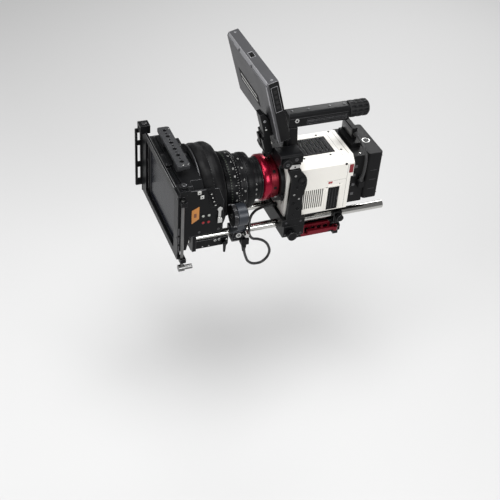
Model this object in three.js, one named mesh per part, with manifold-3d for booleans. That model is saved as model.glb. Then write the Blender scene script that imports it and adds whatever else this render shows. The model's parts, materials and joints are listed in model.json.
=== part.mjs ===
// A cinema camera rig: camera body in its cage with a top handle, lens with focus motor,
// matte box, monitor and battery.
// Millimetres. +X is the camera's left-hand side, +Y runs back along the optical axis and +Z is up.
// Everything is laid out from the optical axis at the lens adapter; the last group stands it
// on its tripod plate.
import * as THREE from "three";
import { mergeVertices } from "three/addons/utils/BufferGeometryUtils.js";
import Module from "manifold-3d";

const wasm = await Module();
wasm.setup();

// ---------- driving dimensions ----------
const GAP = 0.3; // clearance between neighbouring pieces
const BODY = { half: 51, front: 22, rear: 148, bottom: -60, top: 47.5, chamfer: 11, wall: 4 };
const ROD = { radius: 7.5, x: 30, z: -85, front: -150, rear: 230.5 };
const PLATE = { x: 0, y: 100, bottom: -127 }; // centre of the face that the tripod holds
const RING = { gear: 57, grip: 56, front: -89, gearRear: -83, rear: -63 };
const MOTOR = { x: 76.2, z: -13.4, radius: 19.5, front: -82, rear: -63.5 };
const STAGE = { half: 84, front: -176, rear: -140, bottom: -62, top: 64 };
const HOOD = { half: 104, front: -193, rear: -188.3, bottom: -65, top: 67 };
const MONITOR = { long: 187, thick: 21.6, tall: 118.9, tilt: 15.5 };
const HINGE = { x: 4, y: -5, z: 65.5 }; // where the monitor tilts
const SWIVEL = { x: 4, y: 17 }; // where it turns
const HANDLE = { half: 12, front: 31, bottom: 99, top: 127 };
const GRIP = { radius: 14.6, z: 115, front: 146, rear: 184 };
const BATTERY = { half: 48, front: 176, rear: 204.5, bottom: -50, top: 46.5 };

const FINISH = {
  whitePaint: { color: 0xe9e6df, roughness: 0.55, metalness: 0.1 },
  blackAnodised: { color: 0x17181a, roughness: 0.5, metalness: 0.6 },
  greyAnodised: { color: 0x2c2f35, roughness: 0.45, metalness: 0.6 },
  redAnodised: { color: 0xa0142d, roughness: 0.3, metalness: 0.8 },
  steel: { color: 0xc8c9cb, roughness: 0.22, metalness: 1 },
  blackPlastic: { color: 0x141415, roughness: 0.6, metalness: 0 },
  greyPlastic: { color: 0x4a4b4e, roughness: 0.55, metalness: 0.2 },
  redPlastic: { color: 0x8c1822, roughness: 0.4, metalness: 0 },
  rubber: { color: 0x101011, roughness: 0.8, metalness: 0 },
  fabric: { color: 0x131314, roughness: 0.95, metalness: 0 },
  glass: { color: 0x20262e, roughness: 0.05, metalness: 0 },
  board: { color: 0x1d5a34, roughness: 0.6, metalness: 0.1 },
};

// ---------- shapes ----------
// Any closed geometry as a manifold solid with its faces outward.
function solid(geometry) {
  const bare = new THREE.BufferGeometry();
  bare.setAttribute("position", geometry.getAttribute("position"));
  if (geometry.index) bare.setIndex(geometry.index);
  const merged = mergeVertices(bare, 1e-3);
  const index = merged.index.array;
  const triangles = [];
  for (let i = 0; i < index.length; i += 3) {
    const [a, b, c] = [index[i], index[i + 1], index[i + 2]];
    if (a !== b && b !== c && a !== c) triangles.push(a, b, c);
  }
  const build = (order) =>
    new wasm.Manifold(
      new wasm.Mesh({
        numProp: 3,
        vertProperties: merged.attributes.position.array,
        triVerts: new Uint32Array(order),
      }),
    );
  const made = build(triangles);
  if (made.volume() > 0) return made;
  for (let i = 0; i < triangles.length; i += 3)
    [triangles[i], triangles[i + 1]] = [triangles[i + 1], triangles[i]];
  return build(triangles);
}

const join = (...pieces) => pieces.flat().reduce((a, b) => a.add(b));
const cut = (base, ...tools) => tools.flat().reduce((a, b) => a.subtract(b), base);

const box = (x0, x1, y0, y1, z0, z1) =>
  solid(
    new THREE.BoxGeometry(x1 - x0, y1 - y0, z1 - z0).translate(
      (x0 + x1) / 2,
      (y0 + y1) / 2,
      (z0 + z1) / 2,
    ),
  );

// A cylinder or cone along one axis; the centre gives its other two coordinates in x, y, z order.
function cone(axis, startRadius, endRadius, from, to, [a, b], sides = 28) {
  const shape = new THREE.CylinderGeometry(endRadius, startRadius, to - from, sides);
  shape.translate(0, (from + to) / 2, 0);
  if (axis === "x") shape.rotateZ(-Math.PI / 2).translate(0, a, b);
  if (axis === "y") shape.translate(a, 0, b);
  if (axis === "z") shape.rotateX(Math.PI / 2).translate(a, b, 0);
  return solid(shape);
}
const bar = (axis, radius, from, to, centre, sides) =>
  cone(axis, radius, radius, from, to, centre, sides);

// A ring or disc turned about the optical axis, from a closed profile of [radius, y] points.
function turned(profile, segments = 36) {
  const points = profile.map(([radius, y]) => new THREE.Vector2(radius, y));
  return solid(new THREE.LatheGeometry([...points, points[0].clone()], segments));
}
const ring = (inner, outer, from, to, segments) =>
  turned(
    [
      [inner, from],
      [outer, from],
      [outer, to],
      [inner, to],
    ],
    segments,
  );

// Outlines in a plane, and a prism that carries one along an axis.
const outline = (points) => new THREE.Shape(points.map(([a, b]) => new THREE.Vector2(a, b)));
function roundedRect(a0, a1, b0, b1, r) {
  const shape = new THREE.Shape();
  shape.absarc(a1 - r, b0 + r, r, -Math.PI / 2, 0, false);
  shape.absarc(a1 - r, b1 - r, r, 0, Math.PI / 2, false);
  shape.absarc(a0 + r, b1 - r, r, Math.PI / 2, Math.PI, false);
  shape.absarc(a0 + r, b0 + r, r, Math.PI, Math.PI * 1.5, false);
  return shape;
}
function circle(a, b, r) {
  const shape = new THREE.Shape();
  shape.absarc(a, b, r, 0, Math.PI * 2, false);
  return shape;
}
function withHoles(shape, holes) {
  shape.holes.push(...holes);
  return shape;
}
const AXES = {
  x: [new THREE.Vector3(0, 1, 0), new THREE.Vector3(0, 0, 1), new THREE.Vector3(1, 0, 0)],
  y: [new THREE.Vector3(1, 0, 0), new THREE.Vector3(0, 0, 1), new THREE.Vector3(0, 1, 0)],
  z: [new THREE.Vector3(1, 0, 0), new THREE.Vector3(0, 1, 0), new THREE.Vector3(0, 0, 1)],
};
function prism(axis, from, to, shape, curveSegments = 4) {
  const settings = { depth: to - from, bevelEnabled: false, curveSegments };
  const flat = new THREE.ExtrudeGeometry(shape, settings).translate(0, 0, from);
  return solid(flat.applyMatrix4(new THREE.Matrix4().makeBasis(...AXES[axis])));
}

// A round cord through hand-chosen points.
function cord(points, radius, steps, sides) {
  const path = new THREE.CatmullRomCurve3(points.map((p) => new THREE.Vector3(...p)));
  const section = [];
  for (let i = 0; i < sides; i++) {
    const turn = (i / sides) * Math.PI * 2;
    section.push([radius * Math.cos(turn), radius * Math.sin(turn)]);
  }
  return solid(new THREE.ExtrudeGeometry(outline(section), { steps, extrudePath: path }));
}

// Repeats a piece n times round the optical axis.
function around(count, make, phase = 0) {
  return Array.from({ length: count }, (_, i) => make(phase + (i / count) * Math.PI * 2));
}
// A small block that stands out radially from the optical axis at one angle.
function radialBlock(angle, inner, outer, width, from, to) {
  const shape = new THREE.BoxGeometry(outer - inner, to - from, width);
  shape.translate((inner + outer) / 2, (from + to) / 2, 0).rotateY(-angle);
  return solid(shape);
}
const sequence = (count, start, pitch) =>
  Array.from({ length: count }, (_, i) => start + i * pitch);
const BOTH_SIDES = [-1, 1];

// ---------- the rig ----------
const rig = new THREE.Group();
function add(name, shape, finish, group = rig) {
  const { vertProperties, triVerts } = shape.getMesh();
  const geometry = new THREE.BufferGeometry();
  geometry.setAttribute("position", new THREE.BufferAttribute(vertProperties, 3));
  geometry.setIndex(new THREE.BufferAttribute(triVerts, 1));
  const faceted = geometry.toNonIndexed();
  faceted.computeVertexNormals();
  const mesh = new THREE.Mesh(faceted, new THREE.MeshStandardMaterial(FINISH[finish]));
  mesh.name = name;
  group.add(mesh);
}

function cameraBody() {
  const { half, front, rear, bottom, top, chamfer, wall } = BODY;
  const section = (grow) => {
    const w = half + grow;
    const t = top + grow;
    const b = bottom - grow;
    const c = chamfer;
    return outline([
      [-w, b],
      [w, b],
      [w, t - c],
      [w - c, t],
      [c - w, t],
      [-w, t - c],
    ]);
  };
  const plan = outline([
    [-half, rear],
    [-half, front + 7],
    [6 - half, front],
    [half - 6, front],
    [half, front + 7],
    [half, rear],
  ]);
  let shell = prism("y", front, rear, section(0)).intersect(prism("z", bottom, top, plan));
  const fins = sequence(10, 55, 4).flatMap((y) => [
    box(half - 1.8, half, y, y + 2, -49, -9),
    box(-half, 1.8 - half, y, y + 2, -49, -9),
  ]);
  shell = cut(
    shell,
    prism("y", front + wall, rear - wall, section(-wall)),
    bar("y", 30, front - 1, front + wall + 1, [0, 0], 32), // throat behind the lens mount
    box(-60, 60, rear - 4.5 + GAP, rear + 1, bottom - 1, 8), // step below the battery plate
    box(-25.3, 25.3, 39.7, 120.3, top - 1.9, top + 1), // seat of the vent panel
    box(-22, 22, 43, 117, top - wall - 1, top), // air way of the fan
    box(half - 2, half + 1, 102.7, 124.3, -58.3, -9.7), // seat of the media door
    box(half - 2.8, half + 1, 139.2, 147.2, 15.7, 33.3), // seat of the record button
    fins,
    box(36, 39, front - 1, front + 2, -32, -22),
    box(31, 34, front - 1, front + 2, -42, -32),
  );
  add("camera_body", shell, "whitePaint");

  const slots = sequence(9, 45, 8).map((y) => box(-21, 21, y, y + 3.4, top - 3, top + 2));
  add("vent_panel", cut(box(-25, 25, 40, 120, top - 1.6, top + 0.8), slots), "blackPlastic");

  const blades = Array.from({ length: 7 }, (_, i) => {
    const blade = new THREE.BoxGeometry(15, 1.4, 9).rotateX(0.6).translate(14, 0, 34);
    return solid(blade.rotateZ((i / 7) * Math.PI * 2).translate(0, 80, 0));
  });
  add("cooling_fan", join(bar("z", 9, 28, 40, [0, 80], 20), blades), "blackPlastic");
  const coolingFins = sequence(9, -38, 9).map((x) => box(x, x + 3, 44, 132, 2, 24));
  const spindle = bar("z", 3, 20, 27.6, [0, 80], 12);
  const base = join(box(-40, 40, 44, 132, -4, 3), box(-6, 6, 70, 90, 2, 22));
  add("heat_sink", join(base, coolingFins, spindle), "steel");
  const chips = [52, 78, 104].map((y) => box(-14, 14, y, y + 18, -13.5, -9));
  const stand = bar("z", 4, -55.7, -14.5, [0, 90], 12);
  add("circuit_board", join(box(-40, 40, 44, 136, -15, -13), chips, stand), "board");
  const sensorFace = box(-21, 21, 37, 40.5, -11.5, 11.5);
  add("image_sensor", join(box(-30, 30, 40, 43, -26, 26), sensorFace), "glass");

  const ribs = sequence(3, 107, 5.5).map((y) => box(51, 52, y, y + 2.2, -55, -13));
  add("media_door", cut(box(49.3, 51.6, 103, 124, -58, -10), ribs), "blackPlastic");
  add("record_button", box(49.6, 52, 139.5, 146.9, 16, 33), "redPlastic");
}

function lens() {
  const bore = 30;
  add("lens_mount", ring(bore, 40, 13.5, BODY.front - GAP), "steel");
  const tabs = [-0.35, 2.79].map((angle) => radialBlock(angle, 43, 53, 12, 13.5, 18.5));
  add("mount_lock_ring", join(ring(40.4, 46, 13, 20.6), tabs), "blackAnodised");

  const adapter = turned([
    [28, -16],
    [39.5, -16],
    [41.7, -13.5],
    [41.7, -1.5],
    [40.2, -1],
    [40.2, 0.5],
    [38.8, 1],
    [38.6, 12.6],
    [28, 12.6],
  ]);
  const notches = around(8, (angle) => radialBlock(angle, 37.4, 42, 5, 3, 8));
  add("lens_adapter", cut(adapter, notches), "redAnodised");

  const barrel = turned([
    [25, -16.3],
    [38.5, -16.3],
    [37, -20],
    [36, -34.7],
    [44, -34.7],
    [44, -49.6],
    [49, -49.6],
    [49, -62.7],
    [46, -62.7],
    [46, -89.3],
    [52, -89.3],
    [52, -97],
    [44, -97],
    [44, -88],
    [25, -60],
  ]);
  add("lens_barrel", barrel, "blackAnodised");
  const iris = turned([
    [44.3, -35],
    [48.8, -35],
    [50, -37],
    [50, -46.5],
    [48.5, -49.3],
    [44.3, -49.3],
  ]);
  const scallops = around(10, (angle) => radialBlock(angle, 49.2, 52, 6, -46, -41));
  add("iris_ring", cut(iris, scallops), "blackAnodised");
  const { gear, grip, front, gearRear, rear } = RING;
  const focus = turned(
    [
      [46.3, rear],
      [grip - 1.5, rear],
      [grip, rear - 1.5],
      [grip, gearRear],
      [gear, gearRear],
      [gear, front],
      [46.3, front],
    ],
    40,
  );
  add("focus_ring", focus, "blackAnodised");

  const dome = [];
  for (let i = 0; i <= 5; i++) dome.push([(43.4 * i) / 5, -95.5 + 5 * (i / 5) ** 2]);
  add("front_element", solid(new THREE.LatheGeometry(
    [...dome, [43.4, -88.5], [0, -88.5]].map(([r, y]) => new THREE.Vector2(r, y)), 28)), "glass");
}

function focusMotor() {
  const { x, z, radius, front, rear } = MOTOR;
  const distance = Math.hypot(x, z);
  const pinion = distance - RING.gear - GAP;
  add("motor_gear", join(
    bar("y", pinion, RING.front, RING.gearRear, [x, z], 40),
    bar("y", 4, RING.gearRear - 1, front - GAP, [x, z], 12)), "blackPlastic");
  const body = join(
    cone("y", radius - 1.2, radius, front, front + 1.2, [x, z], 36),
    bar("y", radius, front + 1.2, rear - 2, [x, z], 36),
    cone("y", radius, radius - 2, rear - 2, rear, [x, z], 36),
  );
  const arm = prism("y", -78, -66, outline([
    [66, -24],
    [84, -26],
    [80, -44],
    [50, -72],
    [46, -72],
    [46, -66],
  ]));
  add("motor_body", join(body, arm, box(40, 50, -78, -50, -73.7, -66)), "greyAnodised");
  const clampFace = outline([
    [19, -97],
    [46, -97],
    [50, -92],
    [50, -74],
    [19, -74],
  ]);
  add("motor_clamp", cut(
    prism("y", -73, -45, withHoles(clampFace, [circle(ROD.x, ROD.z, ROD.radius + GAP)]), 12),
    box(37, 51, -74, -44, -86, -84)), "blackAnodised");
  add("clamp_knob", join(
    bar("x", 3.2, 50.3, 53, [-50, -78], 16),
    cone("x", 6.5, 4, 52.5, 60, [-50, -78], 20)), "steel");
  add("motor_socket", join(
    box(50.3, 56, -58, -44, -100, -88),
    box(44, 56, -58, -44, -101, -97 - GAP),
    bar("z", 4.5, -108, -100, [50, -51], 16)), "blackPlastic");
}

function matteBox() {
  const opening = roundedRect(-83, 83, -53, 56, 5);
  const flange = withHoles(roundedRect(-HOOD.half, HOOD.half, HOOD.bottom, HOOD.top, 4), [opening]);

  const { half, front, rear, bottom, top } = STAGE;
  // The lower corners are cut away so that the box clears the rods below it.
  const lightWay = roundedRect(-68, 68, -47, 47, 6);
  const blockFace = outline([
    [-54, bottom],
    [54, bottom],
    [half, -38],
    [half, top - 5],
    [half - 5, top],
    [5 - half, top],
    [-half, top - 5],
    [-half, -38],
  ]);
  const block = prism("y", front, -160, withHoles(blockFace, [lightWay]));
  const backFace = outline([
    [-58, bottom + 4],
    [58, bottom + 4],
    [78, -42],
    [78, 50],
    [64, top],
    [-64, top],
    [-78, 50],
    [-78, -42],
  ]);
  const back = prism("y", -160.5, rear, withHoles(backFace, [circle(0, 0, 57)]), 10);
  const guides = BOTH_SIDES.map((side) =>
    side > 0
      ? box(80.2, half, HOOD.rear + GAP, front + 1, bottom, top - 4)
      : box(-half, -80.2, HOOD.rear + GAP, front + 1, bottom, top - 4),
  );
  const sill = box(-half, half, HOOD.rear + GAP, front + 1, bottom, -57.4);
  add("filter_stage", join(block, back, guides, sill), "blackAnodised");

  [HOOD.rear + 0.8, -181.6].forEach((y, i) => {
    const window = roundedRect(-70.5, 70.5, -50, 50, 0.4);
    const frame = withHoles(roundedRect(-79.8, 79.8, -57, 62, 3), [window]);
    const tab = box(-18, 18, y, y + 5, 61, 69);
    add(`filter_tray_${i + 1}`, join(prism("y", y, y + 5, frame), tab), "blackAnodised");
  });
  add("filter_glass", box(-70.2, 70.2, HOOD.rear + 1.3, HOOD.rear + 5.3, -49.7, 49.7), "glass");

  BOTH_SIDES.forEach((side) => {
    const near = side > 0;
    const x0 = near ? half + GAP : -half - 4;
    const rearEdge = near
      ? [
          [-172, -60],
          [-166, -33],
          [-112, -33],
          [-108, -28],
          [-108, 30],
          [-118, 58],
        ]
      : [
          [-148, -60],
          [-142, -50],
          [-142, 40],
        ];
    const wing = outline([[-187, -60], ...rearEdge, [-150, 60], [-187, 60]]);
    const name = near ? "side_wing_near" : "side_wing_far";
    add(name, prism("x", x0, x0 + 3.7, wing), "blackAnodised");
  });
  const drape = [
    [53.5, -90.5],
    [61, -90.5],
    [71, -93.5],
    [76.5, -100],
    [78.5, -112],
    [79.5, -124],
    [79, -133],
    [74, -139],
    [53.5, -139],
  ];
  add("lens_donut", turned(drape, 28), "fabric");
  const nearFace = half + 4;
  add("wing_lever", join(
    bar("x", 4.5, nearFace + GAP, nearFace + 4, [-116, 18], 16),
    box(nearFace + 1.2, nearFace + 3.4, -118.5, -113.5, -8, 17),
    box(nearFace + 1.2, nearFace + 6, -120, -112, -9, 0)), "steel");

  const holes = sequence(6, -63, 19.5).flatMap((x) => [
    circle(x, -165.5, 4),
    circle(x + 9.7, -165.5, 2),
  ]);
  const strip = prism("z", 78, 84, withHoles(roundedRect(-74, 50, -176, -155, 4), holes));
  const posts = [-50, 26].map((x) => box(x - 8, x + 8, -174, -162, top + GAP, 78.5));
  add("accessory_bar", join(strip, posts), "greyAnodised");

  const clampFar = cut(
    box(-107, -88, -201, -183, HOOD.top - 1, 81), box(-103, -92, -202, -190, 72, 76));
  const clampNear = join(
    box(82, 104, -190, -172, HOOD.top - 1, 74), bar("z", 7.5, 73.5, 79, [93, -180], 20));

  const slots = [
    [40, 58],
    [-4, 32],
    [-40, -14],
  ].map(([low, high]) => box(-112, -105, -201, -196, low, high));
  add("side_flag_bracket", join(
    cut(box(-110.5, -106.5, -205, -191, -53, 65), slots),
    bar("z", 3.4, -55, 65, [-108, -190], 14),
    bar("z", 3.6, -66, -54, [-108, -190], 14)), "blackAnodised");

  const pinX = 108;
  const pinY = -186;
  const lugs = [
    [50, 58],
    [-66, -58],
  ].map(([low, high]) => cut(
    box(HOOD.half - 6, pinX + 5, HOOD.front + 3, pinY + 6, low, high),
    bar("z", 3, low - 1, high + 1, [pinX, pinY], 16)));
  add("front_frame", join(
    prism("y", HOOD.front, HOOD.rear, flange), clampFar, clampNear, lugs), "blackAnodised");
  add("flag_pin", join(
    bar("z", 2.7, -76, 62, [pinX, pinY], 16),
    bar("y", 6, pinY - 6, pinY + 4, [pinX, -79], 20),
    bar("y", 4.2, pinY + 3, pinY + 18, [pinX, -79], 16)), "steel");

  const saddles = BOTH_SIDES.map((side) => {
    const x = side * ROD.x;
    return join(
      cut(
        box(x - 11, x + 11, -148, -78, -103, -86),
        bar("y", ROD.radius + GAP, -150, -70, [x, ROD.z], 28),
      ),
      box(x - 11, x + 11, -148, -130, -103, -96),
    );
  });
  const bridge = cut(
    box(-50, 50, -148, rear - GAP - 0.5, -100, bottom + 4 - GAP),
    BOTH_SIDES.map((side) => bar("y", ROD.radius + GAP, -150, -128, [side * ROD.x, ROD.z], 28)),
  );
  add("rod_bracket", join(bridge, saddles), "blackAnodised");
  add("bracket_lever", join(
    bar("x", 4.5, 41.3, 48, [-86, -96], 16),
    cone("z", 2.2, 3.4, -116, -97, [45.2, -86], 10)), "blackAnodised");
}

function rods() {
  [["rod_near", 1], ["rod_far", -1]].forEach(([name, side]) => {
    const x = side * ROD.x;
    const shaft = join(
      bar("y", ROD.radius, ROD.front, ROD.rear - 1, [x, ROD.z], 28),
      cone("y", ROD.radius, ROD.radius - 1, ROD.rear - 1, ROD.rear, [x, ROD.z], 28),
    );
    add(name, cut(shaft, bar("y", 4, ROD.rear - 12, ROD.rear + 1, [x, ROD.z], 16)), "steel");
  });
}

function cage() {
  const rodHoles = BOTH_SIDES.map((side) => circle(side * ROD.x, ROD.z, ROD.radius + GAP));
  // The deck is narrow behind the cage side, where a thin shelf carries the body's edge over the rod.
  const deck = outline([
    [-54, 16],
    [58, 16],
    [58, 60],
    [34, 64],
    [34, 150],
    [-54, 150],
  ]);
  const shelf = box(33, 50, 59, 97, -65, BODY.bottom - GAP);
  const windows = [
    roundedRect(-14, 14, 70, 84, 3),
    roundedRect(-14, 14, 112, 126, 3),
  ];
  const plate = prism("z", -74, BODY.bottom - GAP, withHoles(deck, windows));
  add("bridge_plate", join(plate, shelf), "blackAnodised");
  const blockFront = withHoles(roundedRect(-54, 58, -101, -74 - GAP, 4), rodHoles);
  add("rod_block_front", prism("y", 20, 60, blockFront, 10), "blackAnodised");
  const blockRear = withHoles(roundedRect(-44, 44, -97, -74 - GAP, 4), rodHoles);
  const rearKnob = join(
    bar("x", 6.5, 47, 55, [134, -82], 20),
    bar("x", 3, 43, 48, [134, -82], 12),
  );
  add("rod_block_rear", join(prism("y", 126, 142, blockRear, 10), rearKnob), "blackAnodised");
  add("rod_knob_front", join(
    bar("x", 9, 61, 70, [34, -91], 24), bar("x", 3.5, 58.3, 61.5, [34, -91], 12)), "blackAnodised");

  const side = new THREE.Shape();
  side.moveTo(22, -60);
  side.lineTo(24, -42);
  side.bezierCurveTo(25, -10, 24, 5, 26, 18);
  side.bezierCurveTo(27, 30, 19, 36, 19, 46);
  side.lineTo(41, 46);
  side.bezierCurveTo(42, 38, 54, 34, 55, 20);
  side.bezierCurveTo(57, 6, 50, -4, 50, -16);
  side.lineTo(52, -60);
  const eyes = [
    [46, 21, 6],
    [32, 34, 2.5],
    [38, 8, 3],
    [33, -6, 2.5],
    [43, -16, 2.5],
    [34, -25, 3.2],
    [42, -38, 3.2],
    [34, -50, 2.5],
  ].map(([y, z, r]) => circle(y, z, r));
  add("cage_side", prism("x", BODY.half + GAP, 59, withHoles(side, eyes), 6), "blackAnodised");

  const topPlate = outline([
    [-50, 22],
    [-16, 22],
    [-12, 7],
    [50, 3],
    [50, 44],
    [12, 52],
    [-50, 46],
  ]);
  const topFrame = cut(
    prism("z", BODY.top + 1.2, 57, topPlate),
    sequence(4, -42, 12).map((x) => bar("z", 2.6, 40, 70, [x, 36], 12)),
    bar("z", 3.4, 40, 70, [SWIVEL.x, SWIVEL.y], 16),
  );
  const corner = prism("y", 3, 44, roundedRect(22, 56, 56, 75, 5));
  const knob = join(bar("x", 8, 58, 65, [12, 64], 24), bar("x", 3, 55, 59, [12, 64], 12));
  add("cage_top", join(topFrame, corner, knob), "blackAnodised");
}

function tripodBase() {
  const riser = box(-19.5, 19.5, 62, 124, -105, -74 - GAP);
  const dovetail = outline([
    [-27, -104 - GAP],
    [27, -104 - GAP],
    [27, -112],
    [33, -116],
    [33, PLATE.bottom],
    [-33, PLATE.bottom],
    [-33, -116],
    [-27, -112],
  ]);
  const pivot = join(
    box(32, 50, 125, 135, -119, -112 - GAP),
    bar("z", 2.4, -113, -105, [44.8, 130], 12),
  );
  add("tripod_plate", join(prism("y", 52, 148, dovetail), riser, pivot), "blackAnodised");
  const frame = roundedRect(66, 122, -122, -96, 4);
  const lattice = sequence(4, 72, 12.5).map((y) => roundedRect(y, y + 8, -116, -102, 2));
  add("release_frame", prism("x", 34, 38.5, withHoles(frame, lattice), 2), "redAnodised");
  const lever = join(
    bar("z", 5.5, -112, -104, [44.8, 130], 18),
    box(42.8, 47.2, 78, 128, -111, -105),
    box(41.6, 48.4, 74, 90, -112, -104),
  );
  add("release_lever", cut(lever, bar("z", 2.4 + GAP, -113, -103, [44.8, 130], 12)), "redAnodised");
}

function topHandle() {
  const { half, front, bottom, top } = HANDLE;
  const post = outline([
    [34, 57 + GAP],
    [56, 57 + GAP],
    [52, 72],
    [50, bottom - GAP],
    [34, bottom - GAP],
  ]);
  add("handle_post", prism("x", -10, 10, post), "blackAnodised");
  const grooves = [104, 111].flatMap((z) => [
    box(half - 1, half + 1, 66, 140, z, z + 3),
    box(-half - 1, 1 - half, 66, 140, z, z + 3),
  ]);
  const bore = bar("y", 6.3, 132, 150, [0, 114], 16);
  const stem = roundedRect(-half, half, bottom, top, 5);
  add("handle_bar", cut(prism("y", front, 145.5, stem), grooves, bore), "blackAnodised");
  const flutes = around(12, (turn) => {
    const reach = GRIP.radius + 0.6;
    const centre = [reach * Math.cos(turn), GRIP.z + reach * Math.sin(turn)];
    return bar("y", 2.2, GRIP.front + 8, GRIP.rear - 5, centre, 8);
  });
  const knob = join(
    bar("y", GRIP.radius, GRIP.front, GRIP.rear - 3, [0, GRIP.z], 36),
    cone("y", GRIP.radius, GRIP.radius - 3, GRIP.rear - 3, GRIP.rear, [0, GRIP.z], 36),
    bar("y", 6, 133, GRIP.front + 1, [0, 114], 16),
  );
  add("handle_grip", cut(knob, flutes), "rubber");
}

function monitor() {
  const { long, thick, tall, tilt } = MONITOR;
  const swivel = join(
    bar("z", 3, 50, 58, [SWIVEL.x, SWIVEL.y], 16),
    bar("z", 9, 57 + GAP, 61, [SWIVEL.x, SWIVEL.y], 24),
    box(HINGE.x - 5, HINGE.x + 5, HINGE.y + 2, SWIVEL.y + 5, 58, 64),
    bar("x", 7, HINGE.x - 5, HINGE.x + 5, [HINGE.y, HINGE.z], 20),
    bar("x", 3, HINGE.x - 12.5, HINGE.x + 14, [HINGE.y, HINGE.z], 14), // tilt pin
    bar("z", 4.5, 47, 55, [HINGE.x, HINGE.y + 2], 16),
    bar("z", 2.5, 54, 60, [HINGE.x, HINGE.y + 2], 12),
  );
  add("monitor_swivel", swivel, "blackAnodised");
  add("tilt_knob", join(
    bar("x", 6.5, HINGE.x - 24, HINGE.x - 15 - GAP, [HINGE.y, HINGE.z], 20),
    bar("x", 3, HINGE.x - 16, HINGE.x - 13, [HINGE.y, HINGE.z], 14)), "blackAnodised");

  // The screen and its arm are drawn upright about the tilt hinge, and lean forward with it.
  const leaning = new THREE.Group();
  leaning.position.set(HINGE.x, HINGE.y, HINGE.z);
  leaning.rotation.x = THREE.MathUtils.degToRad(tilt);
  rig.add(leaning);
  const left = -149;
  const low = 26.8;
  const face = 14.5;
  const [x0, x1] = [left, left + long];
  const [y0, y1] = [face, face + thick];
  const [z0, z1] = [low, low + tall];
  const section = outline([
    [y0, z0],
    [y1, z0],
    [y1, z1],
    [y0 + 4, z1],
    [y0, z1 - 5],
  ]);
  add("monitor_body", cut(
    prism("x", x0, x1, section),
    box(x0 + 9, x1 - 9, y1 - 2, y1 + 1, z0 + 12, z1 - 9),
    box(x1 - 1, x1 + 1, y0 + 6, y1 - 4, z0 + 62, z1 - 10),
    box(-66, -50, y0 + 8, y1 - 6, z1 - 5, z1 + 1),
    [x0 + 8, x1 - 8].map((x) => bar("z", 2, z1 - 2, z1 + 1, [x, y0 + 13], 10)),
    box(x0 + 34, x1 - 74, y0 - 1, y0 + 1, z1 - 7, z1 - 3),
  ), "greyPlastic", leaning);
  add("monitor_screen", box(x0 + 9.3, x1 - 9.3, y1 - 1.7, y1 - 0.4, z0 + 12.3, z1 - 9.3), "glass", leaning);

  const fork = [
    [-15, -5 - GAP],
    [5 + GAP, 15],
  ].map(([a, b]) => join(
    bar("x", 7.5, a, b, [0, 0], 20), box(a, b, -6, 8, 0, 26)));
  const arm = join(
    fork,
    box(-15, 15, -2, 8, 20, 34),
    prism("x", -3, 15, outline([
      [-1, 30],
      [face - GAP, 30],
      [face - GAP, 62],
      [6, 77],
      [-1, 77],
    ])),
  );
  add("monitor_arm", cut(arm, bar("x", 3.3, -16, 16, [0, 0], 14)), "blackAnodised", leaning);
}

function power() {
  const { half, front, rear, bottom, top } = BATTERY;
  add("battery_plate", join(
    box(-46, 46, BODY.rear + GAP, front - GAP, 8.5, 45),
    box(-44, 44, BODY.rear + GAP, front - GAP, -56, 9),
    box(43, 56, 160, 171, -18, -6 - GAP), // aerial socket
    prism("z", -30, 20, outline([
      [-12, front - 1],
      [12, front - 1],
      [16, front + 5],
      [-16, front + 5],
    ])),
  ), "blackPlastic");
  const wedge = prism("z", bottom - 1, 20.6, outline([
    [-12.6, front - 1],
    [12.6, front - 1],
    [17, front + 5.6],
    [-17, front + 5.6],
  ]));
  const shell = prism("z", bottom, top, roundedRect(-half, half, front, rear, 5));
  add("battery", cut(shell, wedge, bar("z", 6, top - 4.2, top + 1, [5, 190], 20)), "blackPlastic");
  add("battery_button", bar("z", 5.5, top - 2.6, top + 1.2, [5, 190], 20), "steel");
  add("aerial_block", join(
    box(-36, 6, 160, 169, 45 + GAP, 76), box(-36, 20, 154, 172, 45 + GAP, 54)), "blackPlastic");
}

const CORD = { radius: 2.5, sides: 8 };
// The motor cord drops from its socket, hangs in one loop, and climbs behind the motor to the camera's front.
const MOTOR_CORD = [
  [50, -51, -108.3],
  [50, -50, -116],
  [48, -46, -132],
  [46, -36, -152],
  [44, -21, -160],
  [42, -6, -158],
  [41, 4, -143],
  [41, 1, -126],
  [42, -9, -112],
  [44, -22, -103],
  [46, -34, -97],
  [46.5, -40.5, -86],
  [44.5, -41, -72],
  [36, -37, -60],
  [26, -26, -55],
  [18, -12, -55],
  [15, 2, -55],
  [14, 13.6, -55],
];
const AERIAL_CORD = [
  [6.5, 165, 66],
  [14, 165, 66.5],
  [28, 167, 63],
  [42, 168.5, 55],
  [51, 169, 42],
  [52.5, 169, 26],
  [52.4, 168, 10],
  [51.6, 166.4, 1],
  [51, 165.6, -6],
];
function cords() {
  add("front_socket", bar("y", 4.6, 14, BODY.front - GAP, [14, -55], 16), "blackPlastic");
  add("motor_cord", cord(MOTOR_CORD, CORD.radius, 42, CORD.sides), "rubber");
  add("aerial_cord", cord(AERIAL_CORD, CORD.radius, 16, CORD.sides), "rubber");
}

cameraBody();
lens();
focusMotor();
matteBox();
rods();
cage();
tripodBase();
topHandle();
monitor();
power();
cords();

const standing = new THREE.Group();
rig.position.set(-PLATE.x, -PLATE.y, -PLATE.bottom);
standing.add(rig);
export default standing;
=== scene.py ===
import json
import math

import bmesh
import bpy
from mathutils import Matrix, Vector


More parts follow.
